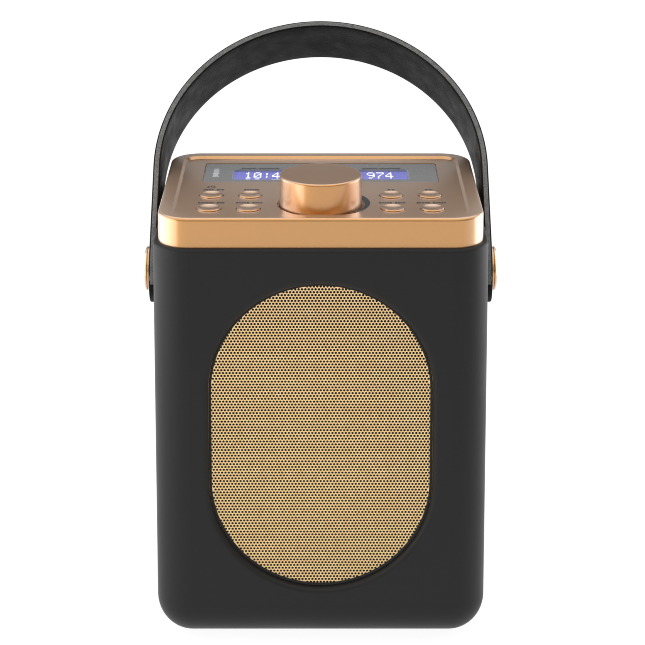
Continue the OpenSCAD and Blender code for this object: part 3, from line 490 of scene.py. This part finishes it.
def plate(outline, holes, lift, thickness):
    """A flat sheet with convex holes in it. lift(u, v, d) places a point of depth d in space."""
    loops = [outline] + holes
    flat = [Vector(p) / mm for loop in loops for p in loop]
    owner = [k for k, loop in enumerate(loops) for _ in loop]
    edges, first = [], 0
    for loop in loops:
        edges += [(first + i, first + (i + 1) % len(loop)) for i in range(len(loop))]
        first += len(loop)
    points, _, triangles, sources, _, _ = delaunay_2d_cdt(flat, edges, [], 0, 1e-6)
    at = {source: i for i, group in enumerate(sources) for source in group}
    part_of = [owner[group[0]] if group else -1 for group in sources]
    kept = [t for t in triangles if not (part_of[t[0]] > 0 and len({part_of[i] for i in t}) == 1)]
    count = len(points)
    verts = [lift(p.x * mm, p.y * mm, 0.0) for p in points]
    verts += [lift(p.x * mm, p.y * mm, thickness) for p in points]
    faces = [tuple(t) for t in kept]
    faces += [tuple(count + i for i in reversed(t)) for t in kept]
    faces += [(at[a], at[b], count + at[b], count + at[a]) for a, b in edges]
    return verts, faces


# ------------------------------------------------------------------ grille

grille_low, grille_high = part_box("front_grille")
grille_lap = 2.0 * mm
# Width of the black ring of painted shadow between the last holes and the shell's opening.
shadow_ring_width = 0.8 * mm
hole_pitch_x = 0.982 * mm
hole_pitch_z = 0.879 * mm
hole_radius = 0.405 * mm
hole_sides = 7
sheet_thickness = 0.3 * mm


def in_stadium(x, z, radius, straight):
    return math.hypot(x, max(0.0, abs(z) - straight)) <= radius


def perforated_grille():
    """Gold sheet with staggered rows of holes over the whole opening."""
    sheet_radius = (grille_high.x - grille_low.x) / 2
    straight = (grille_high.z - grille_low.z) / 2 - sheet_radius
    middle = (grille_low.z + grille_high.z) / 2
    open_radius = sheet_radius - grille_lap - shadow_ring_width
    rows = int((straight + open_radius) / hole_pitch_z)
    columns = int(open_radius / hole_pitch_x) + 1
    holes = []
    for row in range(-rows, rows + 1):
        shift = 0.5 * (row % 2)
        for column in range(-columns, columns + 1):
            x, z = (column + shift) * hole_pitch_x, row * hole_pitch_z
            if in_stadium(x, z, open_radius, straight):
                holes.append(arc((x, z), hole_radius, 90, 450, hole_sides)[:-1])
    outline = stadium(sheet_radius, straight, 48)
    verts, faces = plate(outline, holes, lambda u, v, d: (u, grille_low.y + d, v + middle),
                         sheet_thickness)
    sheet = piece("perforated_grille", verts, faces, "cabinet", "grille_gold")
    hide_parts("front_grille")
    # Black ring of painted shadow round the holes.
    mask(sheet_radius - grille_lap, straight, middle)


def mask(radius, straight, middle):
    """Painted shadow: a black ring round the visible part of the sheet, inside the shell's opening, standing in
    for the shade in the gap between shell and sheet.
    """
    depth, edge = 0.35 * mm, 0.1 * mm
    inner, outer = radius - shadow_ring_width, radius - 0.05 * mm
    front, back = grille_low.y - depth, grille_low.y
    profile = [(inner, back), (inner, front + edge), (inner + edge, front),
               (outer - edge, front), (outer, front + edge), (outer, back)]
    rings = [[(x, y, z + middle) for x, z in stadium(r, straight, 40)] for r, y in profile]
    rings.append(rings[0])
    verts = [p for ring in rings for p in ring]
    piece("grille_painted_shadow_ring", verts, loft(rings), "cabinet", "foot_rubber")


# ------------------------------------------------------------------ leather strap

pivot = Vector(joint_of["handle_swing"]["pos_m"])
strap_low, strap_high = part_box("handle_strap")
strap_width = 20.4 * mm
strap_thickness = 2.2 * mm
strap_tilt = math.radians(42)
leg_length = 30.3 * mm
edge_round = 0.45 * mm
punch_radius = 4.2 * mm
punch_depth = 4 * mm
punch_margin = 1 * mm


def strap_path():
    """Stations along the strap's middle: place across and up, the outward direction, half the width."""
    mid_radius = strap_high.x - strap_thickness / 2
    half = strap_width / 2
    side = []
    for i in range(1, 13):
        turn = math.radians(90 * i / 12)
        side.append((-half * math.cos(turn), max(half * math.sin(turn), 1.2 * mm)))
    legs = 12
    side += [(leg_length * i / legs, half) for i in range(1, legs)]
    right = [(mid_radius, up, 1.0, 0.0, w) for up, w in side]
    arch_steps = 96
    arch = []
    for i in range(arch_steps + 1):
        turn = math.pi * i / arch_steps
        out_x, out_up = math.cos(turn), math.sin(turn)
        arch.append((mid_radius * out_x, leg_length + mid_radius * out_up, out_x, out_up, half))
    left = [(-x, up, -ox, ou, w) for x, up, ox, ou, w in reversed(right)]
    return right + arch + left


def strap_section(half_width):
    """The strap's cross-section: across its width, and out from its middle, with rounded edges."""
    half = strap_thickness / 2
    flat = 9
    inner = half_width - edge_round
    points = []
    for sign in (1, -1):
        for i in range(flat):
            points.append((sign * (-inner + 2 * inner * i / flat), sign * half))
        corner = arc((inner, half - edge_round), edge_round, 90, 0, 3)
        corner += arc((inner, -half + edge_round), edge_round, 0, -90, 3)
        for w, t in corner:
            points.append((sign * w, sign * t))
    return points


def leather_strap():
    """The handle: one length of stiff leather bent over an arch, with its round ends at the screws."""
    rings = []
    for x, up, out_x, out_up, half_width in strap_path():
        ring = []
        for w, t in strap_section(half_width):
            local_up = up + out_up * t
            ring.append((x + out_x * t,
                         pivot.y + local_up * math.sin(strap_tilt) + w * math.cos(strap_tilt),
                         pivot.z + local_up * math.cos(strap_tilt) - w * math.sin(strap_tilt)))
        rings.append(ring)
    count = len(rings[0])
    verts = [p for ring in rings for p in ring]
    faces = loft(rings)
    faces += [tuple(range(count)), tuple(range(len(verts) - count, len(verts)))[::-1]]
    strap = piece("leather_strap", verts, faces, "handle", "strap_leather", sharp=50.0)
    for low_x in (strap_low.x - punch_margin, strap_high.x - punch_depth):
        punch(strap, punch_radius, low_x, low_x + punch_depth + punch_margin)
    paint_edges(strap)
    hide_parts("handle_strap")


def paint_edges(strap):
    """Gives the cut edges their own material, down to the round ends. Below the screw the round ends keep the
    black face material as painted shade, where the edge turns downward.
    """
    strap.data.materials.append(edge_leather)
    across = Vector((0, math.cos(strap_tilt), -math.sin(strap_tilt)))
    # Faces of the round ends more than 1.2 mm below the pivot keep the black face material: painted shade where
    # the edge faces down.
    squarely, painted_shade_top, highest = 0.985, -1.2 * mm, 9 * mm
    for face in strap.data.polygons:
        height = face.center.z - pivot.z
        beside_screw = abs(face.normal.x) < 0.2 and painted_shade_top < height < highest
        if abs(face.normal.dot(across)) > squarely or beside_screw:
            face.material_index = 1


def punch(made, radius, low_x, high_x):
    """Cuts a round hole along X through a piece, at the handle's pivot."""
    drill = bpy.data.meshes.new("drill")
    ring = arc((pivot.y, pivot.z), radius, 0, 360, 48)[:-1]
    count = len(ring)
    verts = [(x, y, z) for x in (low_x, high_x) for y, z in ring]
    faces = [(i, (i + 1) % count, count + (i + 1) % count, count + i) for i in range(count)]
    faces += [tuple(range(count))[::-1], tuple(range(count, 2 * count))]
    drill.from_pydata(verts, [], faces)
    cutter = bpy.data.objects.new("drill", drill)
    scene.collection.objects.link(cutter)
    cut = made.modifiers.new("hole", "BOOLEAN")
    cut.object = cutter
    cut.operation = "DIFFERENCE"
    cut.solver = "EXACT"
    bpy.context.view_layer.update()
    graph = bpy.context.evaluated_depsgraph_get()
    drilled = bpy.data.meshes.new_from_object(made.evaluated_get(graph))
    made.modifiers.remove(cut)
    made.data = drilled
    bpy.data.objects.remove(cutter)


# ------------------------------------------------------------------ rubber rolls

def rubber_roll(node, mover):
    """Half-round rubber ring that joins a cone's rim to its frame, in sectors, each a separate piece on no body."""
    sectors, steps = 12, 5
    sheet = 0.4 * mm
    low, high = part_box(node)
    centre = (low + high) / 2
    outer = (high.x - low.x) / 2
    rim_low, rim_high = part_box(mover)
    inner = (rim_high.x - rim_low.x) / 2 - sheet
    roll, middle = (outer - inner) / 2, (outer + inner) / 2
    foot = high.y - low.y - roll
    over = arc((middle, foot), roll, 0, 180, 16)
    under = arc((middle, foot), roll - sheet, 180, 0, 16)
    lips = [(inner - sheet, foot), (inner - sheet, 0.0), (inner + sheet, 0.0)]
    profile = [(outer, 0.0)] + over + lips + under + [(outer - sheet, 0.0)]
    count = len(profile)
    for k in range(sectors):
        rings = []
        for i in range(steps + 1):
            turn = math.tau * (k + i / steps) / sectors
            rings.append([(centre.x + r * math.cos(turn), high.y - h, centre.z + r * math.sin(turn))
                          for r, h in profile])
        verts = [p for ring in rings for p in ring]
        faces = loft(rings)
        faces += [tuple(range(count)), tuple(range(len(verts) - count, len(verts)))[::-1]]
        made = piece(f"{node}_{k + 1}", verts, faces, None, "roll_rubber")
        turn = math.tau * (k + 0.5) / sectors
        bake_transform(made)
        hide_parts(node)


# ------------------------------------------------------------------ display

window_low, window_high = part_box("display_window")
lens_low, lens_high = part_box("display_lens")
panel_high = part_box("lcd_glass")[1]
window_centre = (window_low + window_high) / 2
lens_centre = (lens_low + lens_high) / 2

# Dot patterns of the digits, five dots wide and seven high, top row first
GLYPHS = {
    "0": "01110 10001 10011 10101 11001 10001 01110",
    "1": "00100 01100 00100 00100 00100 00100 01110",
    "2": "01110 10001 00001 00110 01000 10000 11111",
    "3": "11111 00010 00100 00010 00001 10001 01110",
    "4": "00010 00110 01010 10010 11111 00010 00010",
    "7": "11111 00001 00010 00100 01000 01000 01000",
    "8": "01110 10001 10001 01110 10001 10001 01110",
    "9": "01110 10001 10001 01111 00001 00010 01100",
    ":": "00000 00100 00100 00000 00100 00100 00000",
    "-": "00000 00000 00000 11111 00000 00000 00000",
}


def window_frame():
    """The window plate, with a bevelled edge all round and the opening for the liquid crystal panel."""
    bevel = 0.3 * mm
    inner_bevel = 0.45 * mm
    corner = 0.7 * mm
    width, depth = window_high.x - window_low.x, window_high.y - window_low.y
    inner_w, inner_d = lens_high.x - lens_low.x + 0.1 * mm, lens_high.y - lens_low.y + 0.1 * mm
    shift = lens_centre.y - window_centre.y
    outline = rounded_rectangle(width - 2 * bevel, depth - 2 * bevel, corner - bevel)
    opening = [(x, y + shift) for x, y in rounded_rectangle(inner_w, inner_d, 0.3 * mm)]
    hole = [(x, y + shift) for x, y in rounded_rectangle(inner_w + 2 * inner_bevel, inner_d, 0.3 * mm)]

    def place(u, v, d):
        return (u, v + window_centre.y, window_high.z - d)

    thick = window_high.z - window_low.z
    outer = rounded_rectangle(width, depth, corner)
    verts, faces = plate(outline, [hole], place, thick)
    faces = faces[:-len(outline) - len(hole)]
    for loops in (((outline, 0.0), (outer, bevel), (outer, thick), (outline, thick)),
                  ((hole, 0.0), (opening, inner_bevel), (opening, thick), (hole, thick))):
        rings = [[place(x, y, d) for x, y in loop] for loop, d in loops]
        first = len(verts)
        verts += [p for ring in rings for p in ring]
        faces += [tuple(first + i for i in f) for f in loft(rings)]
    plate_piece = piece("window_plate", verts, faces, "cabinet", "window_grey", sharp=20.0)
    # The sloped bevel faces take the lighter material, a painted highlight.
    plate_piece.data.materials.append(painted_bevel_highlight)
    for face in plate_piece.data.polygons:
        if 0.2 < face.normal.z < 0.95:
            face.material_index = 1
    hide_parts("display_window")


def block(low, high):
    """Points and faces of a box between two corners."""
    xs, ys, zs = zip(low, high)
    verts = [(x, y, z) for z in zs for y in ys for x in xs]
    faces = [(0, 2, 3, 1), (4, 5, 7, 6), (0, 1, 5, 4), (1, 3, 7, 5), (3, 2, 6, 7), (2, 0, 4, 6)]
    return verts, faces


def dot_text(rows, dot_x, dot_y, gap, z0, z1):
    """Digits drawn in small raised dots. Each row is (text, left end, back end)."""
    verts, faces = [], []
    for text, left, back in rows:
        x0 = left
        for letter in text:
            for line, dots in enumerate(GLYPHS[letter].split()):
                for column, dot in enumerate(dots):
                    if dot == "0":
                        continue
                    low = (x0 + column * dot_x, back - (line + 1) * dot_y + gap, z0)
                    high = (low[0] + dot_x - gap, back - line * dot_y, z1)
                    if low[1] < lens_low.y:
                        continue
                    more_verts, more_faces = block(low, high)
                    faces += [tuple(len(verts) + i for i in f) for f in more_faces]
                    verts += more_verts
            x0 += 6 * dot_x
    return verts, faces


def display_digits():
    """Clock and tuned number in the panel's first row, and the start of a second row."""
    dot_x, dot_y, gap = 0.48 * mm, 0.98 * mm, 0.05 * mm
    left, back = lens_low.x + 3.2 * mm, lens_high.y - 1.0 * mm
    right = lens_low.x + 41.4 * mm
    second = back - 8 * dot_y
    rows = [("10:42", left, back), ("974", right, back), ("08-31", left, second)]
    verts, faces = dot_text(rows, dot_x, dot_y, gap, panel_high.z + 0.002 * mm, panel_high.z + 0.012 * mm)
    white = printed("digit_white", (0.85, 0.87, 0.95), 0.9)
    piece("display_digits", verts, faces, "cabinet", "lcd_blue", white)


# ------------------------------------------------------------------ printed marks

print_height = 0.03 * mm
cap_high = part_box("top_cap")[1]
field_z = cap_high.z - 0.8 * mm


def print_shapes(name, shapes, base=field_z, slot="black_plastic", ink=print_dark):
    """Flat printed shapes, on the control field by default: each is a convex outline in X and Y."""
    verts, faces = [], []
    for outline in shapes:
        count, first = len(outline), len(verts)
        verts += [(x, y, base + h) for h in (0.001 * mm, print_height) for x, y in outline]
        faces.append(tuple(first + i for i in reversed(range(count))))
        faces.append(tuple(first + count + i for i in range(count)))
        for i in range(count):
            j = (i + 1) % count
            faces.append((first + i, first + j, first + count + j, first + count + i))
    return piece(name, verts, faces, "cabinet", slot, ink)


def volume_wedge():
    """Printed wedge beside the knob that widens as the volume rises."""
    inner = knob_high.x + 0.85 * mm
    start, end, steps = -52, 64, 36
    widest = 2.7 * mm
    shapes = []
    for i in range(steps):
        quad = []
        for k, outside in ((i, False), (i + 1, False), (i + 1, True), (i, True)):
            share = k / steps
            turn = math.radians(start + (end - start) * share)
            radius = inner + (0.12 * mm + widest * share ** 0.75 if outside else 0.0)
            quad.append((knob_centre.x + radius * math.cos(turn), knob_centre.y + radius * math.sin(turn)))
        shapes.append(quad[::-1])
    print_shapes("volume_wedge", shapes)


def bar(x, y, width, depth):
    return [(x - width / 2, y - depth / 2), (x + width / 2, y - depth / 2),
            (x + width / 2, y + depth / 2), (x - width / 2, y + depth / 2)]


def arrow(x, y, size, way):
    """Triangle that points along X, one way or the other."""
    return [(x - way * size / 2, y - 0.8 * size), (x + way * size / 2, y),
            (x - way * size / 2, y + 0.8 * size)][::way]


def ring_shapes(x, y, radius, width, start, end, steps=14):
    outer = arc((x, y), radius, start, end, steps)
    inner = arc((x, y), radius - width, start, end, steps)
    return [[inner[i], outer[i], outer[i + 1], inner[i + 1]] for i in range(steps)]


def words(x, y, pattern):
    """A row of plain blocks the size of letters, centred on x: H is tall, x is low, a space is empty."""
    width, step = 0.6 * mm, 0.8 * mm
    depth = {"H": 1.5 * mm, "x": 1.125 * mm}
    left = x - step * (len(pattern) - 1) / 2
    return [bar(left + i * step, y, width, depth[mark]) for i, mark in enumerate(pattern) if mark in depth]


def power_ring(x, y):
    """Open ring with an upright stroke in its gap."""
    shapes = ring_shapes(x, y, 1.3 * mm, 0.4 * mm, 125, 415)
    shapes.append(bar(x, y + 0.9 * mm, 0.4 * mm, 1.4 * mm))
    return shapes


def button_marks():
    """A small generic mark behind each button: a power ring, arrows or rows of blocks."""
    behind = 5.9 * mm
    size = 1.0 * mm
    aside = 0.3 * mm
    shapes = []
    for side in ("left", "right"):
        for column in ("outer", "inner"):
            for row in ("front", "back"):
                near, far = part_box(f"button_{side}_{column}_{row}")
                x, y = (near.x + far.x) / 2, (near.y + far.y) / 2 + behind
                if row == "back" and side == "right":
                    way = 1 if column == "outer" else -1
                    shapes += [arrow(x + s * size * 0.6, y, size, way) for s in (-1, 1)]
                elif row == "back" and column == "outer":
                    shapes += power_ring(x - 0.5 * mm, y + 2.9 * mm)
                    shapes += words(x + 0.4 * mm, y, "Hxxx Hxx")
                elif row == "back":
                    shapes += words(x + aside, y, "HxxxHx")
                elif column == "outer" and side == "left":
                    shapes += words(x + aside, y, "Hxxxxx Hxx")
                elif column == "outer":
                    shapes += words(x, y, "HxxxH HxxHx")
                else:
                    shapes += words(x, y, "HxxxH Hxxx")
    print_shapes("button_marks", shapes)


def window_marks():
    """Dark rows on the window behind the panel, and a pale upright mark at its left."""
    y = lens_high.y + 1.3 * mm
    aside = 19.0 * mm
    rows = []
    for side in (-1, 1):
        rows += words(lens_centre.x + side * aside, y, "HxxHxx HxxHxxxH")
    print_shapes("window_marks", rows, window_high.z, "window_grey")
    x = (window_low.x + lens_low.x) / 2 - 1.0 * mm
    count, pitch, stroke = 9, 1.05 * mm, 0.65 * mm
    column = []
    for i in range(count):
        width = 1.5 * mm if i % 3 else 2.1 * mm
        y = window_centre.y + (i - (count - 1) / 2) * pitch
        column.append(bar(x, y, width, stroke))
    print_shapes("window_mark_pale", column, window_high.z, "window_grey", print_pale)


# ------------------------------------------------------------------ studio

photo_lens = 113.43
photo_shift = -0.549
photo_shift_across = 0.0028
camera_place = Vector((0.0, -598.96 * mm, 301.38 * mm))
camera_pitch = math.radians(9.804)
floor_glow = 0.85
horizon_glow = 0.3
overhead_glow = 1.4


def camera():
    """Long lens, level frame shifted down. The shift holds only at this place, so that a camera
    moved round the object stays centred on it."""
    data = bpy.data.cameras.new("photo_camera")
    data.lens = photo_lens
    data.shift_x = photo_shift_across
    eye = bpy.data.objects.new("photo_camera", data)
    eye.location = camera_place
    eye.rotation_euler = (math.pi / 2 - camera_pitch, 0, 0)
    scene.collection.objects.link(eye)
    scene.camera = eye
    driver = data.driver_add("shift_y").driver
    driver.type = "SCRIPTED"
    place = driver.variables.new()
    place.name = "y"
    place.type = "TRANSFORMS"
    place.targets[0].id = eye
    place.targets[0].transform_type = "LOC_Y"
    place.targets[0].transform_space = "WORLD_SPACE"
    driver.expression = f"{photo_shift} if abs(y - {camera_place.y:.5f}) < 0.0005 else 0"


def softbox(name, place, aim, width, height, watts):
    """Rectangular area light at a place, aimed at a point."""
    data = bpy.data.lights.new(name, "AREA")
    data.shape = "RECTANGLE"
    data.size, data.size_y = width, height
    data.energy = watts
    lamp = bpy.data.objects.new(name, data)
    lamp.location = place
    lamp.rotation_euler = (Vector(aim) - Vector(place)).to_track_quat("-Z", "Y").to_euler()
    lamp.visible_camera = False
    scene.collection.objects.link(lamp)


def floor():
    """Pale table, large enough to fill every view. It glows, so that shadows on it stay faint."""
    look = Look("pale_floor", (0.86, 0.86, 0.86), 0.7, Specular_IOR_Level=0.0)
    look.two_tone(look.noise(0.35, 2.0), (0.855, 0.855, 0.855), (0.875, 0.875, 0.875))
    glow = look.nodes.new("ShaderNodeEmission")
    glow.inputs["Strength"].default_value = 1.1
    blend = look.nodes.new("ShaderNodeMixShader")
    blend.inputs["Fac"].default_value = floor_glow
    look.links.new(look.shader.outputs["BSDF"], blend.inputs[1])
    look.links.new(glow.outputs["Emission"], blend.inputs[2])
    look.links.new(blend.outputs["Shader"], look.nodes["Material Output"].inputs["Surface"])
    mesh = bpy.data.meshes.new("floor")
    reach, cells = 1.2, 12
    side = [reach * (2 * i / cells - 1) for i in range(cells + 1)]
    verts = [(x, y, 0.0) for y in side for x in side]
    row = cells + 1
    faces = [(j * row + i, j * row + i + 1, (j + 1) * row + i + 1, (j + 1) * row + i)
             for j in range(cells) for i in range(cells)]
    mesh.from_pydata(verts, [], faces)
    mesh.materials.append(look.material)
    table = bpy.data.objects.new("floor", mesh)
    scene.collection.objects.link(table)


def sky():
    """White for the camera. For light it is bright overhead and dim low down all round."""
    world = bpy.data.worlds.new("surround")
    world.use_nodes = True
    nodes, links = world.node_tree.nodes, world.node_tree.links
    split = nodes.new("ShaderNodeSeparateXYZ")
    links.new(nodes.new("ShaderNodeTexCoord").outputs["Generated"], split.inputs["Vector"])
    band = nodes.new("ShaderNodeMapRange")
    band.interpolation_type = "SMOOTHSTEP"
    links.new(split.outputs["Z"], band.inputs["Value"])
    band.inputs["From Min"].default_value = 0.45
    band.inputs["From Max"].default_value = 0.75
    band.inputs["To Min"].default_value = horizon_glow
    band.inputs["To Max"].default_value = overhead_glow
    seen = nodes.new("ShaderNodeMix")
    links.new(nodes.new("ShaderNodeLightPath").outputs["Is Camera Ray"], seen.inputs["Factor"])
    links.new(band.outputs["Result"], seen.inputs["A"])
    seen.inputs["B"].default_value = 1.0
    nodes["Background"].inputs["Color"].default_value = (1, 1, 1, 1)
    links.new(seen.outputs["Result"], nodes["Background"].inputs["Strength"])
    scene.world = world


def studio():
    """A front box and low panels at the sides, none seen directly."""
    middle = (0, 0, 120 * mm)
    softbox("front", (0, -1.4, 0.9), middle, width=1.6, height=1.0, watts=1.0)
    softbox("panel_left", (-0.32, -0.03, 0.14), middle, width=0.56, height=0.26, watts=0.95)
    softbox("panel_right", (0.34, 0.12, 0.14), middle, width=0.34, height=0.26, watts=0.65)


# ------------------------------------------------------------------ assembly

dress_cad_nodes()
perforated_grille()
leather_strap()
window_frame()
display_digits()
volume_wedge()
button_marks()
window_marks()
rubber_roll("speaker_surround", "speaker_cone")
rubber_roll("passive_surround", "passive_plate")
floor()
sky()
studio()
camera()
scene.view_settings.view_transform = "Standard"
scene.cycles.filter_width = 1.0
